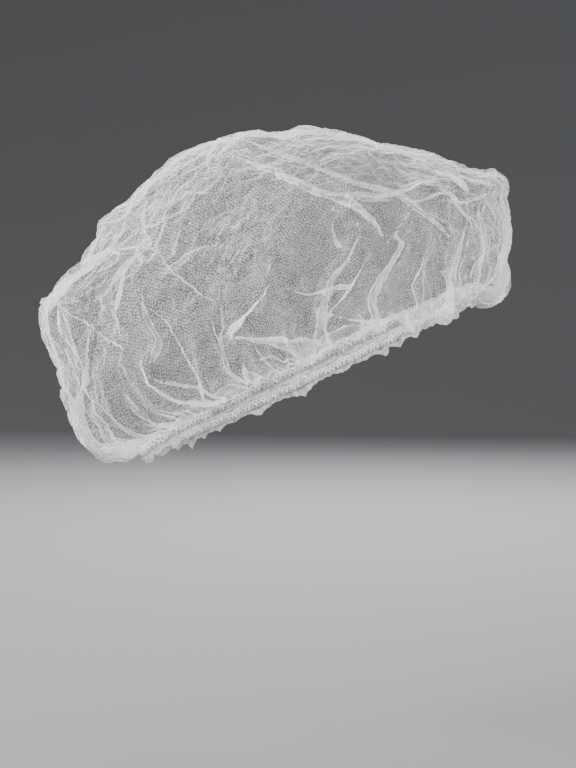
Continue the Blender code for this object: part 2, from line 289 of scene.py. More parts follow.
def smooth(value: Array, start: float | Array, end: float | Array) -> Array:
    """Return a smooth share, 0 up to start and 1 past end, which may lie below start."""
    share = np.clip((value - start) / (end - start), 0.0, 1.0)
    return share * share * (3 - 2 * share)


def unit(vectors: Array) -> Array:
    """Return each row at length 1."""
    return vectors / np.maximum(np.linalg.norm(vectors, axis=-1, keepdims=True), 1e-12)


def swing(turn: Array, count: int, phase: float = 0.0) -> Array:
    """Return a wave of -1 to 1 that goes count times round."""
    return np.sin(TAU * count * turn + phase)


def uneven(turn: Array, count: int, wander: float, count_wander: int) -> Array:
    """Return count times the turn, which wanders count_wander times round."""
    return count * turn + wander * swing(turn, count_wander)


def new_object(name: str, data: bpy.types.ID) -> bpy.types.Object:
    """Make an object and put it in the scene.

    Args:
        name: its name.
        data: its mesh, curve, light or camera.

    Returns:
        The object.
    """
    made = bpy.data.objects.new(name, data)
    bpy.context.scene.collection.objects.link(made)
    return made


def strip(inner: int, outer: int, count: int) -> list:
    """Return the faces between two rings of the same count, by their first corners."""
    ends = [(first, (first + 1) % count) for first in range(count)]
    return [(inner + first, inner + after, outer + after, outer + first) for first, after in ends]


def waves(place: Array, rng: np.random.Generator, count: int, size: float) -> Array:
    """Return a smooth random height, about -1 to 1, whose features measure about size.

    Args:
        place: points, one row each.
        rng: where the directions and phases come from.
        count: how many waves are laid over each other.
        size: the waves' length in metres.

    Returns:
        One height for each point.
    """
    total = np.zeros(len(place))
    for _ in range(count):
        way = unit(rng.normal(size=3)) / (size * rng.uniform(0.7, 1.5))
        total += np.sin(TAU * (place @ way + rng.uniform()))
    return total / math.sqrt(count / 2)


@dataclass(frozen=True)
class ElasticLoop:
    """The loop along the middle of the elastic, which the hem follows."""

    half_length: float
    half_width: float
    tilt: float

    @classmethod
    def from_frame(cls, frame: dict) -> ElasticLoop:
        """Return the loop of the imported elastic.


        Returns:
            The loop whose tilt is the opening's and whose sizes are the elastic's.
        """
        mount = next(m for m in frame["record"]["mounts"] if m["name"] == "head_opening")
        tilt = math.atan2(-mount["axis"][1], -mount["axis"][2])
        _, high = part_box("elastic_band")
        lean = ELASTIC_HALF_WIDTH * math.sin(tilt)
        half_length = (high[1] - lean) / math.cos(tilt) - ELASTIC_THICKNESS / 2
        return cls(half_length, high[0] - ELASTIC_THICKNESS / 2, tilt)

    @property
    def axis(self) -> Array:
        """Return the loop's axis, which points up into the crown."""
        return np.array((0.0, math.sin(self.tilt), math.cos(self.tilt)))

    @property
    def reach(self) -> float:
        """Return how far the loop reaches forward and back, seen from above."""
        return self.half_length * math.cos(self.tilt)

    def points(self, turn: Array, out: Array | float, up: Array | float) -> Array:
        """Return points at out and up from the elastic's middle line.

        Args:
            turn: shares of the way round.
            out: how far out of the loop, in metres.
            up: how far up along its axis, in metres.

        Returns:
            One point for each turn.
        """
        left, forward = -np.sin(TAU * turn), np.cos(TAU * turn)
        back_way = np.array((0.0, math.cos(self.tilt), -math.sin(self.tilt)))
        side_way = np.array((1.0, 0.0, 0.0))
        middle = np.outer(self.half_width * left, side_way) - np.outer(self.half_length * forward, back_way)
        way = np.outer(left / self.half_width, side_way) - np.outer(forward / self.half_length, back_way)
        out = np.broadcast_to(out, turn.shape)[:, None]
        up = np.broadcast_to(up, turn.shape)[:, None]
        return middle + out * unit(way) + up * self.axis


@dataclass
class CrownForm:
    """The smooth worn form of the crown, which the cloth follows."""

    loop: ElasticLoop
    height: float = 0.126
    front_bag: float = 0.0198
    back_bag: float = 0.0573
    side_bag: float = 0.024
    hem_out: float = 0.0012
    hem_top: float = 0.0035
    turns: int = 240
    levels: int = 220
    arc: Array = field(init=False)

    def __post_init__(self) -> None:
        """Measure the way up the crown at each turn."""
        turns, levels = np.arange(self.turns) / self.turns, np.linspace(0, 1, self.levels)
        turn, level = np.meshgrid(turns, levels, indexing="ij")
        points = self.points(turn.ravel(), level.ravel()).reshape(self.turns, self.levels, 3)
        steps = np.linalg.norm(np.diff(points, axis=1), axis=2)
        self.arc = np.concatenate([np.zeros((self.turns, 1)), np.cumsum(steps, axis=1)], axis=1)

    def section_points(self, turn: Array, section: Section, bag: bool) -> Array:
        """Return where a section passes each turn.

        Args:
            turn: shares of the way round.
            section: the section's row.
            bag: whether the row is of the bag past the elastic.

        Returns:
            One point for each turn.
        """
        left, forward = -np.sin(TAU * turn), np.cos(TAU * turn)
        hem = self.loop.points(np.array((0.0, 0.25, 0.5)), self.hem_out, self.hem_top)[:, 2]
        rise = np.array((section.front_rise, section.side_rise, section.back_rise))
        front_z, side_z, back_z = hem + rise * (self.height - hem)
        if bag:
            front = self.loop.reach + section.front * self.front_bag
            back = self.loop.reach + section.back * self.back_bag
            side = self.loop.half_width + section.side * self.side_bag
        else:
            front = section.front * (self.loop.reach + self.front_bag)
            back = section.back * (self.loop.reach + self.back_bag)
            side = section.side * (self.loop.half_width + self.side_bag)
        reach = np.where(forward > 0, front, back)
        height = side_z + (front_z - back_z) / 2 * forward + ((front_z + back_z) / 2 - side_z) * forward**2
        return np.stack([side * left, -reach * forward, height], axis=1)

    def points(self, turn: Array, level: Array) -> Array:
        """Return the points of the smooth crown.

        Args:
            turn: shares of the way round, from the front.
            level: shares of the way from the hem to the top, in sections.

        Returns:
            One point for each turn and level.
        """
        rows = [self.loop.points(turn, self.hem_out, up) for up in (0.0, self.hem_top)]
        rows += [self.section_points(turn, section, True) for section in BAG_SECTIONS]
        rows += [self.section_points(turn, section, False) for section in DOME_SECTIONS]
        rows.append(self.section_points(turn + 0.5, DOME_SECTIONS[-2], False))
        rows = np.stack(rows)
        place = np.clip(level, 0.0, 1.0) * (len(rows) - 3)
        first = np.minimum(place.astype(int), len(rows) - 4)
        share = (place - first)[:, None]
        pick = np.arange(len(turn))
        before, start, end, after = (rows[first + step, pick] for step in range(4))
        square, cube = share**2, share**3
        return (
            start * (2 * cube - 3 * square + 1)
            + (end - before) / 2 * (cube - 2 * square + share)
            + end * (3 * square - 2 * cube)
            + (after - start) / 2 * (cube - square)
        )

    def frames(self, turn: Array, level: Array) -> tuple[Array, Array]:
        """Return the points of the smooth crown and the way out of it.

        Args:
            turn: shares of the way round.
            level: shares of the way from the hem to the top.

        Returns:
            The points, and a way of length 1 out of the crown at each.
        """
        step = 0.004
        low, high = np.clip(level - step, 0, 1 - 2 * step), np.clip(level + step, 2 * step, 1)
        below_top = np.minimum(level, 1 - step)
        along = self.points(turn + step, below_top) - self.points(turn - step, below_top)
        upward = self.points(turn, high) - self.points(turn, low)
        out = unit(np.cross(upward, along))
        out[level > 1 - step] = (0.0, 0.0, 1.0)
        return self.points(turn, level), out

    def from_hem(self, turn: Array, level: Array) -> Array:
        """Measure the way from the hem along the cloth.

        Args:
            turn: shares of the way round.
            level: shares of the way from the hem to the top.

        Returns:
            How far each place lies from the hem, in metres.
        """
        column = (turn % 1.0) * self.turns
        first = column.astype(int) % self.turns
        share = column - column.astype(int)
        row = np.clip(level, 0, 1) * (self.levels - 1)
        low = np.minimum(row.astype(int), self.levels - 2)
        part = row - low
        total = 0.0
        for shift, weight in ((0, 1 - share), (1, share)):
            arc = self.arc[(first + shift) % self.turns]
            pick = np.arange(len(turn))
            total = total + weight * (arc[pick, low] * (1 - part) + arc[pick, low + 1] * part)
        return total

    def level_at(self, turn: Array, share: Array) -> Array:
        """Find the level at a share of the way from the hem to the top along the cloth.

        Args:
            turn: shares of the way round.
            share: shares of the cloth's length there, 0 at the hem and 1 at the top.

        Returns:
            One level for each turn and share.
        """
        column = np.rint((turn % 1.0) * self.turns).astype(int) % self.turns
        level = np.zeros(len(turn))
        steps = np.linspace(0, 1, self.levels)
        for number in np.unique(column):
            mine = column == number
            arc = self.arc[number]
            level[mine] = np.interp(share[mine] * arc[-1], arc, steps)
        return level


@dataclass(frozen=True)
class ClothSettling:
    """How the cut cloth, which is wider than the form it follows, settles into folds."""

    slack_low: float = 0.90
    slack_top: float = 0.12
    hold: float = 0.09
    outline_hold: float = 4.0
    bending: float = 0.03
    stiffness: float = 15.0
    steps: int = 20
    quick_steps: int = 6

    def paint(self, piece: bpy.types.Object, name: str, weights: Array) -> str:
        """Store one weight for each corner of a mesh.

        Args:
            piece: the object that gets the vertex group.
            name: the group's name.
            weights: one weight a corner, kept to the nearest hundredth.

        Returns:
            The group's name.
        """
        group = piece.vertex_groups.new(name=name)
        for level in np.unique(np.round(weights, 2)):
            corners = np.flatnonzero(np.round(weights, 2) == level)
            group.add(corners.tolist(), float(level), "REPLACE")
        return name

    def settle(self, points: Array, faces: list, held: Array, slack: Array) -> Array:
        """Let the cloth settle.

        Args:
            points: the cloth's corners.
            faces: its faces.
            held: how firmly each corner keeps its place, 1 where it doesn't move.
            slack: how much of the low cloth's slack each corner has, 0 to 1.

        Returns:
            The corners where they come to rest.
        """
        mesh = bpy.data.meshes.new("settling_cloth")
        mesh.from_pydata(points.tolist(), [], faces)
        piece = new_object("settling_cloth", mesh)
        modifier = piece.modifiers.new("settling", "CLOTH")
        settings = modifier.settings
        settings.quality = 4
        settings.mass = 0.1
        settings.tension_stiffness = settings.compression_stiffness = self.stiffness
        settings.shear_stiffness = self.stiffness / 3
        settings.bending_stiffness = self.bending
        settings.vertex_group_mass = self.paint(piece, "held", held)
        settings.pin_stiffness = 1.0
        settings.vertex_group_shrink = self.paint(piece, "slack", slack)
        settings.shrink_min = -self.slack_top
        settings.shrink_max = -self.slack_low
        settings.effector_weights.gravity = 0.0
        modifier.collision_settings.use_collision = False
        steps = self.steps
        modifier.point_cache.frame_end = steps
        for step in range(1, steps + 1):
            bpy.context.scene.frame_set(step)
        shape = piece.evaluated_get(bpy.context.evaluated_depsgraph_get())
        places = np.zeros(3 * len(points), np.float32)
        shape.data.vertices.foreach_get("co", places)
        bpy.data.objects.remove(piece)
        bpy.data.meshes.remove(mesh)
        bpy.context.scene.frame_set(1)
        return places.reshape(-1, 3).astype(float)


@dataclass
class GatheredCrown:
    """The crown: one sheet of cloth from its middle to the flap inside the hem.

    set_back pulls the outline in by what the crumples add to it, elastic_clear is how far the
    hem's walls stay from the elastic's middle, and hem_cut is the cloth that the hem takes up.
    lap is the share of its width that a pleat's sides slide in under it. A pleat tapers over
    taper_share of its length, at most taper_length, and runs into the hem if it ends below
    hem_level. area is about that of the worn crown.
    """

    form: CrownForm
    flat_size: float = 0.53
    rings: int = 120
    seed: int = 11
    hem_drop: float = 0.0028
    set_back: float = 0.0026
    hem_rows: int = 7
    hem_bottom: float = 0.0022
    elastic_clear: float = 0.0006
    hem_cut: float = 0.012
    hem_row_cut: float = 0.0007
    lap: float = 0.18
    taper_share: float = 0.35
    taper_length: float = 0.018
    hem_level: float = 0.1
    area: float = 0.13
    chunk: int = 4000
    settling: ClothSettling = ClothSettling()
    turn: Array = field(init=False)
    ribbon: Array = field(init=False)
    creases: Array = field(init=False)

    @property
    def cut_radius(self) -> float:
        """Return the radius of the disc inside the hem."""
        return 0.5 * self.flat_size - self.hem_cut

    def disc_layout(self) -> tuple[Array, Array, list]:
        """Lay the sheet out as a flat disc of rings, six corners more in each.

        Returns:
            The turn of each corner, its share of the way out, and the triangles between.
        """
        turns, shares, faces = [np.zeros(1)], [np.zeros(1)], []
        start, count = 0, 1
        for ring in range(1, self.rings + 1):
            size = 6 * ring
            turns.append((np.arange(size) + 0.5 * (ring % 2)) / size)
            shares.append(np.full(size, ring / self.rings))
            faces += self.ring_faces(start, count, start + count, size)
            start, count = start + count, size
        return np.concatenate(turns), np.concatenate(shares), faces

    @staticmethod
    def ring_faces(inner: int, inner_count: int, outer: int, outer_count: int) -> list:
        """Join two rings, walking both at once.

        Args:
            inner: the inner ring's first corner.
            inner_count: how many corners it has.
            outer: the outer ring's first corner.
            outer_count: how many corners it has.

        Returns:
            The triangles between them.
        """
        faces = []
        if inner_count == 1:
            return [(inner, outer + (i + 1) % outer_count, outer + i) for i in range(outer_count)]
        i = j = 0
        while i < inner_count or j < outer_count:
            here_in, here_out = inner + i % inner_count, outer + j % outer_count
            if j < outer_count and (i == inner_count or (j + 0.5) / outer_count <= (i + 0.5) / inner_count):
                faces.append((here_in, outer + (j + 1) % outer_count, here_out))
                j += 1
            else:
                faces.append((here_in, inner + (i + 1) % inner_count, here_out))
                i += 1
        return faces

    @staticmethod
    def outline_share(turn: Array) -> Array:
        """Return 1 at the middle of the front and the back, where the cloth makes the outline."""
        return 1 - smooth(np.abs(np.sin(TAU * turn)), 0.2, 0.7)

    def gathers(self, turn: Array, level: Array) -> Array:
        """Raise the gathers, which are fine at the hem and broad above it.

        Args:
            turn: shares of the way round.
            level: shares of the way from the hem to the top.

        Returns:
            How far the gathers lift the cloth at each place, in metres.
        """
        rise = self.form.from_hem(turn, level)
        broadest = GATHERS[0].count
        drift = 0.35 / broadest * swing(turn, 3, 0.6) * smooth(level, 0.05, 0.5)
        wander = 0.008 * swing(turn, 7, 1.3) + 0.005 * swing(turn, 17)
        ends = np.cos(TAU * turn) ** 2 * (1 - 0.65 * self.outline_share(turn))
        total = np.zeros(len(turn))
        for row in GATHERS:
            phase = row.count * (turn + drift + wander * (broadest / row.count)) + 0.21 * row.count
            patchy = 0.7 + 0.3 * swing(turn, 5 + row.count % 7, row.count)
            pinch = 2 * (0.5 + 0.5 * np.cos(TAU * phase)) ** 1.7 - 0.85
            height = row.height * FOLD_HEIGHT * (0.95 + 0.75 * ends) * patchy * pinch
            full, gone = row.full * GATHER_REACH, row.gone * GATHER_REACH * (1 + 0.35 * ends)
            total += height * smooth(rise, -0.001, full) * (1 - smooth(rise, full, gone))
        return total

    def crumple(self, place: Array, rng: np.random.Generator, cell: float) -> Array:
        """Crumple the cloth into cells with ridges between them.

        Args:
            place: the cloth's points, one row each.
            rng: where the cells' middles come from.
            cell: about how wide a cell is, in metres.

        Returns:
            A height for each point, 0 inside a cell to 1 on a ridge.
        """
        count = int(self.area / cell**2)
        seeds = place[rng.integers(0, len(place), count)]
        height = np.zeros(len(place))
        for first in range(0, len(place), self.chunk):
            part = place[first:first + self.chunk]
            apart = np.linalg.norm(part[:, None] - seeds[None], axis=2)
            near = np.partition(apart, 1, axis=1)[:, :2]
            inside = (near[:, 1] - near[:, 0]) / (0.55 * cell)
            height[first:first + self.chunk] = 1 - np.clip(inside, 0, 1)
        return height

    def slack(self, turn: Array, level: Array) -> Array:
        """Return how slack the cloth is, 1 in the bag and less where it is drawn over the top."""
        ends = np.abs(np.cos(TAU * turn))
        return 0.25 + 0.75 * (1 - smooth(level, 0.35 + 0.25 * ends, 0.65 + 0.2 * ends))

    def pleat_path(self, pleat: Pleat) -> Array:
        """Run a line through a pleat's places, with its corners rounded.

        Args:
            pleat: the fold whose places the line joins.

        Returns:
            Points on the smooth crown, ten to each stretch between two places.
        """
        ends = np.array(pleat.places)
        steps = np.linspace(0, len(ends) - 1, 10 * (len(ends) - 1) + 1)
        kernel = np.array((1, 2, 3, 2, 1)) / 9
        turn, level = (np.interp(steps, range(len(ends)), ends[:, column]) for column in (0, 1))
        for values in (turn, level):
            values[2:-2] = np.convolve(values, kernel, "valid")
        return self.form.points(turn, level)

    def lay_pleat(self, pleat: Pleat, place: Array, out: Array, move: Array, ribbon: Array) -> None:
        """Lay a pleat into the cloth.

        Args:
            pleat: the fold to lay in.
            place: the cloth's points on the smooth crown.
            out: the way out of the crown at each point.
            move: how each point moves, to which the pleat adds.
            ribbon: how far each point lies from the nearest fold's middle, in shares of its half
                width, which the pleat lowers near it.
        """
        path = self.pleat_path(pleat)
        reach = pleat.width * FOLD_WIDTH
        low, high = path.min(axis=0) - reach, path.max(axis=0) + reach
        near = np.flatnonzero(np.all((place > low) & (place < high), axis=1))
        if len(near) == 0:
            return
        run = np.diff(path, axis=0)
        length = np.linalg.norm(run, axis=1)
        along = np.concatenate([[0.0], np.cumsum(length)])
        offset = place[near][:, None] - path[None, :-1]
        share = np.clip(np.einsum("nsk,sk->ns", offset, run) / length**2, 0, 1)
        apart = offset - share[..., None] * run[None]
        distance = np.linalg.norm(apart, axis=2)
        best = distance.argmin(axis=1)
        pick = np.arange(len(near))
        way = unit(run)[best]
        across = unit(np.cross(out[near], way))
        side = np.einsum("nk,nk->n", apart[pick, best], across)
        place_along = along[best] + share[pick, best] * length[best]
        onward = place_along / along[-1]
        to_hem = pleat.places[-1][1] < self.hem_level
        taper = np.minimum(place_along, along[-1] - place_along)
        taper = taper / min(self.taper_share * along[-1], self.taper_length)
        if to_hem:
            taper = np.maximum(taper, np.where(onward > 0.5, 0.75, 0.0))
        taper = smooth(taper, 0.0, 1.0)
        pointed = smooth(onward, 0.0, 0.55) * (0.6 + 0.6 * onward)
        if not to_hem:
            pointed = pointed * (1 - smooth(onward, 0.8, 1.02))
        half = pleat.ribbon * RIBBON_HALF * np.maximum(pointed, 0.12)
        shown = (taper > 0.02) | (to_hem & (onward > 0.5))
        ribbon[near] = np.minimum(ribbon[near], np.where(shown, distance[pick, best] / half, RIBBON_FAR))
        beyond = smooth(distance[pick, best], reach, 0.8 * reach)
        across_share = np.clip(side / reach, -1, 1)
        fallen = across_share * pleat.fall.value
        rise = smooth(fallen, -0.45, 0.40) * (1 - smooth(fallen, 0.42, 1.0))
        slide = -self.lap * taper * beyond * reach * np.sin(math.pi * across_share)
        lift = pleat.height * FOLD_HEIGHT * taper * beyond * rise
        move[near] += slide[:, None] * across + lift[:, None] * out[near]

    def crease_shares(self, place: Array) -> Array:
        """Find how strong the fine creases are.

        Args:
            place: the cloth's points, one row each.

        Returns:
            A row for each point, with a strength for each lie, 0 to 1.
        """
        shares = np.full((len(place), len(Lie)), 0.18)
        for lie, patches in CREASE_PATCHES.items():
            column = shares[:, lie.value]
            for patch in patches:
                middle = self.form.points(np.array((patch.turn,)), np.array((patch.level,)))
                apart = np.linalg.norm(place - middle, axis=1) / (patch.radius * PATCH_RADIUS)
                np.maximum(column, patch.strength * (1 - smooth(apart, 0.45, 1.0)), out=column)
        return shares

    def cut_places(self, radius: float | Array, turn: Array) -> Array:
        """Return where on the flat disc the cloth at each turn was cut."""
        return np.stack([radius * np.cos(TAU * turn), radius * np.sin(TAU * turn)], axis=1)

    def shape_crown(self) -> tuple[Array, Array, list]:
        """Gather, pleat, crumple and settle the crown above the hem.

        Returns:
            The crown's points, the flat places they were cut at, and its faces.
        """
        turn, share, faces = self.disc_layout()
        level = self.form.level_at(turn, 1 - share)
        place, out = self.form.frames(turn, level)
        rng = np.random.default_rng(self.seed)
        rise = self.form.from_hem(turn, level)
        free = self.slack(turn, level) * smooth(rise, 0.0, 0.006)
        gathers = self.gathers(turn, level)
        lift = gathers.copy()
        patchy = 0.5 + 0.5 * np.clip(waves(place, rng, 8, 0.07), -1, 1)
        for row in CRUMPLES:
            crumples = self.crumple(place, rng, row.cell * FOLD_WIDTH) - 0.4
            lift += row.height * FOLD_HEIGHT * free * (0.35 + 0.65 * patchy) * crumples
        lift += 0.0011 * free * waves(place, rng, 10, 0.045)
        outline = self.outline_share(turn)
        lift -= self.set_back * outline * smooth(level, 0.0, 0.1) * (1 - smooth(level, 0.75, 0.95))
        move = lift[:, None] * out
        ribbon = np.full(len(place), RIBBON_FAR)
        for pleat in RIGHT_PLEATS + BACK_PLEATS + LEFT_PLEATS + FRONT_PLEATS + TOP_PLEATS:
            self.lay_pleat(pleat, place, out, move, ribbon)
        ease = smooth(rise, 0.0, 0.004)[:, None]
        points = place + gathers[:, None] * out * (1 - ease) + move * ease
        kept = self.settling.hold * (1 + self.settling.outline_hold * outline)
        held = 1 - (1 - kept) * smooth(rise, 0.002, 0.012)
        points = self.settling.settle(points, faces, held, 1 - smooth(level, 0.5, 0.75))
        self.turn, self.ribbon, self.creases = turn, ribbon, self.crease_shares(place)
        return points, self.cut_places(self.cut_radius * share, turn), faces

    def hem_profile(self) -> list[tuple[float, float, float]]:
        """Lay out the hem's rows, from its top outside round to the flap's edge.

        Returns:
            For each row how far out and up it lies from the elastic's middle, and its share
            of the frill.
        """
        wall, floor = self.form.hem_out, -self.hem_bottom
        rows = []
        for step in range(1, self.hem_rows + 1):
            share = step / self.hem_rows
            rows.append((wall, self.form.hem_top * (1 - share) + floor * share, 0.4 * share**4))
        under = ((0.95, 0.55), (0.7, 0.85), (0.25, 1.0), (-0.25, 1.0), (-0.7, 0.85), (-0.95, 0.55))
        rows += [(wall * out, floor, frill) for out, frill in under]
        for share in (0.0, 0.25, 0.5, 0.75, 1.0):
            frill = 0.4 * (1 - share) ** 4 - 0.35 * share**3
            rows.append((-wall, floor + share * (self.form.hem_top - floor), frill))
        return rows

    def frill_drop(self, turn: Array) -> Array:
        """Hang the frill below the elastic in ragged teeth.

        Args:
            turn: shares of the way round.

        Returns:
            How far the frill hangs at each turn, in metres.
        """
        broad = 0.5 + 0.3 * swing(turn, 9, 0.4) + 0.2 * swing(turn, 23)
        teeth = np.abs(np.sin(math.pi * uneven(turn, 37, 0.6, 5))) ** 0.7
        small = np.abs(np.sin(math.pi * uneven(turn, 97, 1.2, 7))) ** 0.8
        return self.hem_drop * (0.35 + 1.7 * broad * (1 - teeth) + 0.25 * (1 - small) + 0.2 * broad)

    def hem_wave(self, turn: Array, out: float, frill: float) -> Array:
        """Push the hem in and out with its fine gathers, clear of the elastic.

        Args:
            turn: shares of the way round.
            out: how far out of the loop the row lies, in metres, below 0 inside it.
            frill: the row's share of the frill.

        Returns:
            How far each point of the row moves out, in metres.
        """
        top = self.gathers(turn, np.zeros(len(turn)))
        fine = 0.00035 * np.sin(TAU * uneven(turn, 116, 0.8, 11))
        wide = 0.0010 * swing(turn, 52, 0.9) + 0.0007 * swing(turn, 104)
        inner = 0.0006 * np.sin(TAU * uneven(turn, 89, 1.1, 13)) - 0.0004
        wave = (top + fine if out > 0 else 0.7 * top + inner) + abs(frill) * wide
        if out >= self.form.hem_out:
            return np.maximum(wave, self.elastic_clear - out)
        if out <= -self.form.hem_out:
            return np.minimum(wave, -self.elastic_clear - out)
        return wave

    def build(self) -> bpy.types.Object:
        """Build the sheet as one mesh, the crown and then the hem, row by row.

        Returns:
            The sheet, with the places it was cut at and its folds as attributes.
        """
        points, flat, faces = self.shape_crown()
        count = 6 * self.rings
        inner, total = len(points) - count, len(points)
        turn = self.turn[inner:]
        sheets, cuts, ribbons = [points], [flat], [self.ribbon]
        drop = self.frill_drop(turn)
        for number, (out, up, frill) in enumerate(self.hem_profile()):
            wave = self.hem_wave(turn, out, frill)
            sheets.append(self.form.loop.points(turn, out + wave, up - frill * drop))
            cuts.append(self.cut_places(self.cut_radius + self.hem_row_cut * (number + 1), turn))
            ribbons.append(np.full(count, RIBBON_FAR if frill < 0.3 else 0.0))
            faces += strip(inner, total, count)
            inner, total = total, total + count
        mesh = bpy.data.meshes.new("crown_cloth")
        mesh.from_pydata(np.concatenate(sheets).tolist(), [], [tuple(reversed(face)) for face in faces])
        mesh.shade_smooth()
        cut = np.concatenate(cuts)
        layer = mesh.attributes.new("cut_place", "FLOAT_VECTOR", "POINT")
        layer.data.foreach_set("vector", np.column_stack([cut, np.zeros(len(cut))]).ravel())
        folds = np.tile((0.0, 0.3, 0.0), (len(cut), 1))
        folds[:, 0] = np.concatenate(ribbons)
        folds[:len(self.creases), 1:] = self.creases
        layer = mesh.attributes.new("folds", "FLOAT_VECTOR", "POINT")
        layer.data.foreach_set("vector", folds.ravel())
        return new_object("crown_cloth", mesh)

    def dress(self, piece: bpy.types.Object) -> None:
        """Give the sheet its cloth and put it in place of the plain crown.

        Args:
            piece: the built sheet.
        """
        piece.data.materials.append(SheerNonwoven().build())
        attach(piece, "root")
        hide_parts("crown")


class Nodes:
    """A material's nodes, linked as they are added."""

    def __init__(self, name: str) -> None:
        """Start a material with an empty node tree.

        Args:
            name: the material's name.
        """
        self.material = bpy.data.materials.new(name)
        self.material.use_nodes = True
        self.tree = self.material.node_tree
        self.tree.nodes.clear()

    def add(self, kind: str, inputs: dict | None = None, **settings: object) -> bpy.types.Node:
        """Add a node.

        Args:
            kind: the node's type, without the start that all shader nodes share.
            inputs: values or sockets to link, by the input's name or number.
            settings: the node's own properties.

        Returns:
            The node.
        """
        node = self.tree.nodes.new("ShaderNode" + kind)
        for name, value in settings.items():
            setattr(node, name, value)
        for name, value in (inputs or {}).items():
            if isinstance(value, Socket):
                self.tree.links.new(value, node.inputs[name])
            else:
                node.inputs[name].default_value = value
        return node

    def math(self, operation: str, *values: object) -> Socket:
        """Add a Math node on the values and return its result."""
        return self.add("Math", dict(enumerate(values)), operation=operation).outputs[0]

    def limit(self, value: object, low: float, high: float) -> Socket:
        """Map low to 0 and high to 1, held there past them."""
        spread = {"Value": value, "From Min": low, "From Max": high}
        return self.add("MapRange", spread, clamp=True).outputs["Result"]

    def noise(self, place: object, scale: float, detail: float, distortion: float = 0.0) -> Socket:
        """Add a Noise Texture node at a place and return its value."""
        grain = {"Vector": place, "Scale": scale, "Detail": detail, "Distortion": distortion}
        return self.add("TexNoise", grain).outputs["Fac"]

    def bump(
        self, height: object, distance: float, strength: float, normal: Socket | None = None
    ) -> Socket:
        """Add a Bump node.

        Args:
            height: the relief, 0 to 1.
            distance: how deep it is, in metres.
            strength: how strongly it shows.
            normal: a coarser or finer relief under it.

        Returns:
            The normal.
        """
        inputs = {"Height": height, "Distance": distance, "Strength": strength}
        if normal is not None:
            inputs["Normal"] = normal
        return self.add("Bump", inputs).outputs["Normal"]

    def rest(self, value: object) -> Socket:
        """Return 1 less a value."""
        return self.math("SUBTRACT", 1.0, value)

    def stretch(self, place: Socket, factors: tuple[float, float, float]) -> Socket:
        """Return a place times a factor along each axis."""
        return self.add("VectorMath", {0: place, 1: factors}, operation="MULTIPLY").outputs[0]

    def finish(self, surface: Socket) -> bpy.types.Material:
        """Link a shader to the surface and return the material."""
        self.add("OutputMaterial", {"Surface": surface})
        return self.material


@dataclass(frozen=True)
class MottledFinish:
    """A finish whose fine grain runs from a shade to a colour.

    grain is how many grains a metre has, depth is that of the relief, and rib_pitch and rib_way
    are the ribs' spacing and the way across them. A pitch of 0 has no ribs.
    """

    name: str
    colour: tuple[float, float, float, float]
    shade: tuple[float, float, float, float]
    roughness: float
    sheen: float
    grain: float
    detail: float
    depth: float
    rib_pitch: float = 0.0
    rib_way: tuple[float, float, float] = (0.0, 0.0, 1.0)

    def build(self) -> bpy.types.Material:
        """Build the material.

        Returns:
            A material with the grain, and the ribs if it has any, in its colour and its bump.
        """
        nodes = Nodes(self.name)
        place = nodes.add("TexCoord").outputs["Object"]
        relief = noise = nodes.noise(place, self.grain, self.detail)
        if self.rib_pitch:
            ways = {0: place, 1: self.rib_way}
            up = nodes.add("VectorMath", ways, operation="DOT_PRODUCT").outputs["Value"]
            rib = nodes.math("SINE", nodes.math("MULTIPLY", up, TAU / self.rib_pitch))
            relief = nodes.math("MULTIPLY_ADD", rib, 0.5, noise)
        shade = nodes.add("Mix", {0: noise, 6: self.shade, 7: self.colour}, data_type="RGBA")
        return nodes.finish(nodes.add("BsdfPrincipled", {
            "Base Color": shade.outputs[2],
            "Roughness": self.roughness,
            "Sheen Weight": self.sheen,
            "Normal": nodes.bump(relief, self.depth, 0.8),
        }).outputs[0])


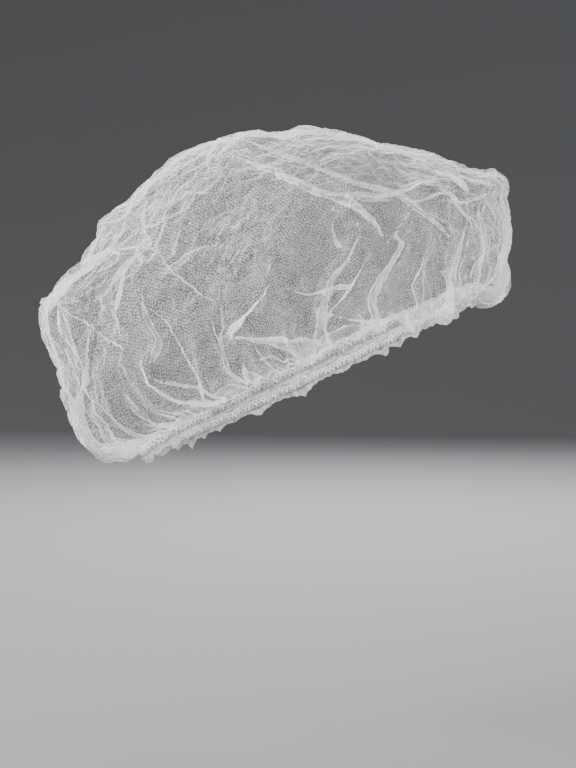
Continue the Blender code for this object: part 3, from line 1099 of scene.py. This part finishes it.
class ClothNodes(Nodes):
    """The cloth's nodes, which start from where a place was cut from the flat disc."""

    def __init__(self, name: str) -> None:
        """Start the cloth's material.

        Args:
            name: the material's name.
        """
        super().__init__(name)
        self.place = self.add("Attribute", attribute_name="cut_place").outputs["Vector"]

    def fibres(self) -> Socket:
        """Scatter stray fibres in three directions.

        Returns:
            How much fibre lies at a place, 0 to 1.
        """
        total = None
        for angle, offset in ((12.0, 0.0), (71.0, 3.1), (133.0, 7.7)):
            way = {"Rotation": (0, 0, math.radians(angle)), "Location": (offset, offset, 0)}
            turned = self.add("Mapping", {"Vector": self.place, **way}).outputs[0]
            long = self.stretch(turned, (90.0, 1300.0, 1.0))
            line = self.limit(self.noise(long, 1.0, 2.0, 0.8), 0.56, 0.70)
            total = line if total is None else self.math("MAXIMUM", total, line)
        return total

    def bonds(self, pitch: float) -> Socket:
        """Set the bond points in diamond rows.

        Args:
            pitch: how far apart they are, in metres.

        Returns:
            1 on a bond point and 0 off it.
        """
        diamond = {"Vector": self.place, "Rotation": (0, 0, math.radians(45))}
        turned = self.add("Mapping", diamond).outputs[0]
        grid = {"Vector": turned, "Scale": 1 / pitch, "Randomness": 0.45}
        distance = self.add("TexVoronoi", grid, voronoi_dimensions="2D").outputs["Distance"]
        return self.rest(self.limit(distance, 0.18, 0.36))

    def crease_lines(self, place: Socket, thin: float) -> Socket:
        """Draw wandering lines through a place, 1 on a line and 0 off it."""
        away = self.math("ABSOLUTE", self.math("SUBTRACT", self.noise(place, 1.0, 1.5, 0.9), 0.5))
        return self.rest(self.limit(away, 0.0, thin))

    def creases(self, rays: Socket, lengthwise: Socket) -> Socket:
        """Draw the fine creases.

        Args:
            rays: how strong those that run to the hem are.
            lengthwise: how strong those that run from front to back are.

        Returns:
            0 where the cloth is smooth to 1 on a strong crease.
        """
        x, y, _ = self.add("SeparateXYZ", {0: self.place}).outputs
        radius = self.add("VectorMath", {0: self.place}, operation="LENGTH").outputs["Value"]
        angle = self.math("ARCTAN2", y, x)
        polar, flat = (
            self.add("CombineXYZ", {0: self.math("MULTIPLY", a, m), 1: self.math("MULTIPLY", b, n)}).outputs[0]
            for a, m, b, n in ((radius, 55.0, angle, 30.0), (x, 45.0, y, 215.0))
        )
        fine = self.crease_lines(self.stretch(flat, (0.8, 1.6, 1.0)), 0.03)
        long = self.math("MAXIMUM", self.crease_lines(flat, 0.035), self.math("MULTIPLY", fine, 0.6))
        total = self.math("MULTIPLY", self.crease_lines(polar, 0.035), rays)
        return self.math("MAXIMUM", total, self.math("MULTIPLY", long, lengthwise))

    def folds(self, ribbon: Socket) -> tuple[Socket, Socket]:
        """Find where the cloth lies in layers, and the folded edges of those layers.

        Args:
            ribbon: how far a place lies from a fold's middle, in shares of its half width.

        Returns:
            1 where the cloth lies in layers, and 1 on a folded edge.
        """
        wavy = self.math("ADD", ribbon, self.math("SUBTRACT", self.noise(self.place, 140.0, 3.0), 0.5))
        away = self.math("ABSOLUTE", self.math("SUBTRACT", wavy, 0.9))
        return self.rest(self.limit(wavy, 0.85, 1.1)), self.rest(self.limit(away, 0.05, 0.3))


@dataclass(frozen=True)
class SheerNonwoven:
    """Thin white spun cloth, with bond points in rows and stray fibres.

    cover is the share of light that the bare cloth stops, and the others named so are what each feature adds
    to it. What the bond points add makes each one a bright speck, a painted glint.
    """

    name: str = "sheer_nonwoven"
    colour: tuple[float, float, float, float] = (0.90, 0.91, 0.92, 1.0)
    cover: float = 0.04
    cloud_cover: float = 0.06
    fibre_cover: float = 0.05
    bond_glint_cover: float = 0.29
    crease_cover: float = 0.38
    edge_cover: float = 0.16
    most_cover: float = 0.9
    steepest: float = 0.36
    glow: float = 0.38
    bond_pitch: float = 0.0017
    roughness: float = 0.62

    def build(self) -> bpy.types.Material:
        """Build the cloth's material.

        Returns:
            A material whose cover follows the fibres, the bond points and the angle of view.
        """
        nodes = ClothNodes(self.name)
        folds = nodes.add("Attribute", attribute_name="folds").outputs["Vector"]
        ribbon, rays, lengthwise = nodes.add("SeparateXYZ", {0: folds}).outputs
        fibres = nodes.fibres()
        bonds = points = nodes.bonds(self.bond_pitch)
        creases = nodes.creases(rays, lengthwise)
        layered, folded_edge = nodes.folds(ribbon)
        cloud = nodes.limit(nodes.noise(nodes.place, 90.0, 3.0), 0.3, 0.7)
        cover = nodes.math("MULTIPLY_ADD", cloud, self.cloud_cover, self.cover - self.cloud_cover / 2)
        cover = nodes.math("MULTIPLY_ADD", fibres, self.fibre_cover, cover)
        for feature, hides in ((layered, -0.75), (lengthwise, -0.7), (rays, -0.35)):
            bonds = nodes.math("MULTIPLY", bonds, nodes.math("MULTIPLY_ADD", feature, hides, 1.0))
        # The bond points' extra cover is a painted glint: it makes each one a bright speck.
        cover = nodes.math("MULTIPLY_ADD", bonds, self.bond_glint_cover, cover)
        cover = nodes.math("MULTIPLY_ADD", creases, self.crease_cover, cover)
        cover = nodes.math("MULTIPLY_ADD", folded_edge, self.edge_cover, cover)
        cover = nodes.math("MINIMUM", cover, self.most_cover)
        facing = nodes.add("LayerWeight", {"Blend": 0.5}).outputs["Facing"]
        straight = nodes.math("MAXIMUM", nodes.rest(facing), self.steepest)
        pressed = nodes.math("MULTIPLY_ADD", cloud, 4.5, 3.5)
        layers = nodes.math("DIVIDE", nodes.math("MULTIPLY_ADD", layered, pressed, 1.0), straight)
        through = nodes.math("POWER", nodes.rest(cover), layers)
        solid = nodes.rest(through)
        relief = nodes.math("MULTIPLY_ADD", fibres, 0.3, nodes.math("MULTIPLY", points, -1.0))
        bump = nodes.bump(relief, 0.00025, 0.8)
        bump = nodes.bump(nodes.math("MULTIPLY_ADD", layered, 0.6, creases), 0.0006, 0.9, bump)
        shader = nodes.add("BsdfPrincipled", {
            "Base Color": self.colour,
            "Roughness": self.roughness,
            "Specular IOR Level": 0.35,
            "Sheen Weight": 0.25,
            "Normal": bump,
        }).outputs[0]
        glow = nodes.add("BsdfTranslucent", {"Color": self.colour, "Normal": bump}).outputs[0]
        cloth = nodes.add("MixShader", {0: self.glow, 1: shader, 2: glow}).outputs[0]
        clear = nodes.add("BsdfTransparent").outputs[0]
        whole = nodes.add("MixShader", {0: solid, 1: clear, 2: cloth}).outputs[0]
        return nodes.finish(whole)


@dataclass(frozen=True)
class Elastic:
    """The flat elastic inside the hem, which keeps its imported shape."""

    loop: ElasticLoop
    node: str = "elastic_band"
    rib_pitch: float = 0.0008

    def dress(self) -> None:
        """Give the elastic fine ribs round it and a grey darker than its own white, which is painted shade
        between the thread loops over it.
        """
        # These greys are the white elastic darkened by painted shade, so that it shows darker between the
        # threads.
        light, dark = (0.64, 0.64, 0.62, 1.0), (0.48, 0.48, 0.47, 1.0)
        finish = MottledFinish(
            "ribbed_elastic_painted_shade", light, dark, roughness=0.65, sheen=0.0, grain=1500.0, detail=3.0,
            depth=0.0002, rib_pitch=self.rib_pitch, rib_way=tuple(self.loop.axis),
        )
        materials = bpy.data.objects[self.node].data.materials
        materials.clear()
        materials.append(finish.build())


@dataclass
class OverlockSeam:
    """The threads that curl along both faces of the hem, two rows a face.

    middle is how far the upper row lies above the elastic's middle and row_drop is twice the
    way down to the lower one. curl is how far a stitch swings back, as a share of its length.
    """

    crown: GatheredCrown
    stitches: int = 250
    stitch_points: int = 9
    height: float = 0.0017
    middle: float = 0.0010
    radius: float = 0.00024
    stand_off: float = 0.0003
    curl: float = 0.34
    row_drop: float = 0.0034
    sway: float = 0.0004

    def build(self) -> bpy.types.Object:
        """Build the threads as tubes.

        Returns:
            One curve object with a closed spline for each row.
        """
        steps = self.stitch_points * self.stitches
        turn = np.arange(steps) / steps
        form = self.crown.form
        curve = bpy.data.curves.new("overlock_seam", "CURVE")
        curve.dimensions = "3D"
        curve.bevel_depth = self.radius
        curve.bevel_resolution = 1
        for face, thread in ((1, 0.0), (1, 0.5), (-1, 0.0), (-1, 0.5)):
            phase = TAU * (turn * self.stitches + thread)
            loops = turn + self.curl / self.stitches * np.sin(phase)
            wall = face * form.hem_out
            out = wall + self.crown.hem_wave(loops, wall, 0.0) + face * self.stand_off * (1 + 0.5 * thread)
            sway = self.sway * (swing(turn, 31) + swing(turn, 47)) - self.row_drop * thread
            points = form.loop.points(loops, out, self.middle + sway + self.height / 2 * np.cos(phase))
            spline = curve.splines.new("POLY")
            spline.points.add(steps - 1)
            spline.points.foreach_set("co", np.column_stack([points, np.ones(steps)]).ravel())
            spline.use_cyclic_u = True
        return new_object("overlock_seam", curve)

    def dress(self, piece: bpy.types.Object) -> None:
        """Give the threads their finish and let them ride with the cap.

        Args:
            piece: the built threads.
        """
        light, dark = (0.93, 0.94, 0.94, 1.0), (0.84, 0.85, 0.86, 1.0)
        finish = MottledFinish(
            "overlock_thread", light, dark, roughness=0.6, sheen=0.3, grain=4200.0, detail=2.0,
            depth=0.00008,
        )
        piece.data.materials.append(finish.build())
        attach(piece, "root")


@dataclass(frozen=True)
class PlainPaper:
    """Plain pale backdrop paper."""

    name: str = "backdrop_paper"
    colour: tuple[float, float, float, float] = (0.15, 0.155, 0.162, 1.0)

    def build(self) -> bpy.types.Material:
        """Build the backdrop's material.

        Returns:
            A plain matt material.
        """
        nodes = Nodes(self.name)
        matt = {"Base Color": self.colour, "Roughness": 0.9, "Specular IOR Level": 0.1}
        return nodes.finish(nodes.add("BsdfPrincipled", matt).outputs[0])


@dataclass(frozen=True)
class SoftLight:
    """A soft square light: degrees round and above the cap, metres away, its side and its watts."""

    name: str
    azimuth: float
    elevation: float
    distance: float
    size: float
    power: float


LIGHTS = (
    SoftLight("key", -150.0, 27.0, 1.4, 0.45, 62.0),
    SoftLight("fill", -20.0, 16.0, 1.6, 1.0, 14.0),
    SoftLight("rim", 100.0, 26.0, 1.4, 0.45, 52.0),
    SoftLight("top", 0.0, 88.0, 1.5, 0.8, 8.0),
)


def way_at(azimuth: float, elevation: float) -> Vector:
    """Return the way out from the cap at degrees round from the front and above the floor."""
    turn, rise = math.radians(azimuth), math.radians(elevation)
    return Vector((math.sin(turn) * math.cos(rise), -math.cos(turn) * math.cos(rise), math.sin(rise)))


@dataclass
class Studio:
    """A round sweep of pale paper, soft lights and the camera.

    pixel is a pixel's side on the camera's sensor, and middle_pixel is where the photograph
    shows the middle of the cap's opening.
    """

    azimuth: float = -75.0
    elevation: float = 4.5
    distance: float = 1.52
    lens: float = 135.0
    sensor_width: float = 36.0
    view_depth: tuple[float, float] = (0.05, 30.0)
    pixel: float = 0.0469e-3
    middle_pixel: tuple[float, float] = (308.5, 372.0)
    frame_pixels: tuple[float, float] = (576.0, 768.0)
    floor_drop: float = 0.20
    floor_radius: float = 1.6
    wall_radius: float = 3.4
    wall_height: float = 2.6
    sides: int = 96
    bend_steps: int = 16
    light_middle: tuple[float, float, float] = (0.0, 0.01, 0.05)
    surrounding: float = 0.36

    def sweep(self) -> None:
        """Build the floor, which curves up into a wall all round."""
        profile = [(0.0, 0.0), (self.floor_radius, 0.0)]
        bend = self.wall_radius - self.floor_radius
        for step in range(1, self.bend_steps + 1):
            angle = step / self.bend_steps * math.pi / 2
            profile.append((self.floor_radius + bend * math.sin(angle), bend * (1 - math.cos(angle))))
        profile.append((self.wall_radius, self.wall_height))
        points = [(0.0, 0.0, -self.floor_drop)]
        for radius, height in profile[1:]:
            for side in range(self.sides):
                angle = TAU * side / self.sides
                points.append((radius * math.cos(angle), radius * math.sin(angle), height - self.floor_drop))
        faces = [(0, 1 + side, 1 + (side + 1) % self.sides) for side in range(self.sides)]
        for low in range(1, 1 + (len(profile) - 2) * self.sides, self.sides):
            faces += strip(low + self.sides, low, self.sides)
        mesh = bpy.data.meshes.new("studio_sweep")
        mesh.from_pydata(points, [], faces)
        mesh.shade_smooth()
        mesh.materials.append(PlainPaper().build())
        new_object("studio_sweep", mesh)

    def add_camera(self) -> None:
        """Add the camera at the photograph's angle, with the opening at its pixel there."""
        away = way_at(self.azimuth, self.elevation)
        right = Vector((0, 0, 1)).cross(away).normalized()
        up = away.cross(right)
        size = self.pixel * self.distance / (self.lens / 1000)
        aside = (self.frame_pixels[0] / 2 - self.middle_pixel[0]) * size
        above = (self.middle_pixel[1] - self.frame_pixels[1] / 2) * size
        target = right * aside + up * above
        data = bpy.data.cameras.new("camera")
        data.lens = self.lens
        data.sensor_width = self.sensor_width
        data.clip_start, data.clip_end = self.view_depth
        camera = new_object("camera", data)
        camera.location = target + away * self.distance
        camera.rotation_euler = away.to_track_quat("Z", "Y").to_euler()
        bpy.context.scene.camera = camera

    def add_light(self, row: SoftLight) -> None:
        """Add a light that looks at the cap.

        Args:
            row: the light's place, size and power.
        """
        data = bpy.data.lights.new(row.name, "AREA")
        data.size = row.size
        data.energy = row.power
        light = new_object(row.name, data)
        way = way_at(row.azimuth, row.elevation)
        light.location = way * row.distance + Vector(self.light_middle)
        light.rotation_euler = way.to_track_quat("Z", "Y").to_euler()
        light.visible_camera = False

    def add_lights(self) -> None:
        """Add the lights and the soft surrounding light."""
        for row in LIGHTS:
            self.add_light(row)
        world = bpy.data.worlds.new("soft_light")
        world.use_nodes = True
        background = world.node_tree.nodes["Background"]
        background.inputs["Color"].default_value = (1.0, 1.0, 1.0, 1.0)
        background.inputs["Strength"].default_value = self.surrounding
        bpy.context.scene.world = world


def main() -> None:
    """Load the frame, build each piece and the studio in order, and log a line about each."""
    logging.basicConfig(level=logging.INFO, format="%(name)s: %(message)s")
    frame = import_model()
    loop = ElasticLoop.from_frame(frame)
    LOG.info("elastic's loop: %.0f by %.0f mm", 2000 * loop.half_length, 2000 * loop.half_width)
    crown = GatheredCrown(CrownForm(loop))
    cloth = crown.build()
    crown.dress(cloth)
    LOG.info("crown_cloth: %d faces", len(cloth.data.polygons))
    seam = OverlockSeam(crown)
    threads = seam.build()
    seam.dress(threads)
    LOG.info("overlock_seam: %d rows of thread", len(threads.data.splines))
    LOG.info("crown_cloth: declared as a gathered sheet")
    Elastic(loop).dress()
    LOG.info("elastic_band: dressed")
    studio = Studio()
    studio.sweep()
    studio.add_lights()
    studio.add_camera()
    LOG.info("studio: %d lights", len(LIGHTS))


if __name__ == "__main__":
    main()
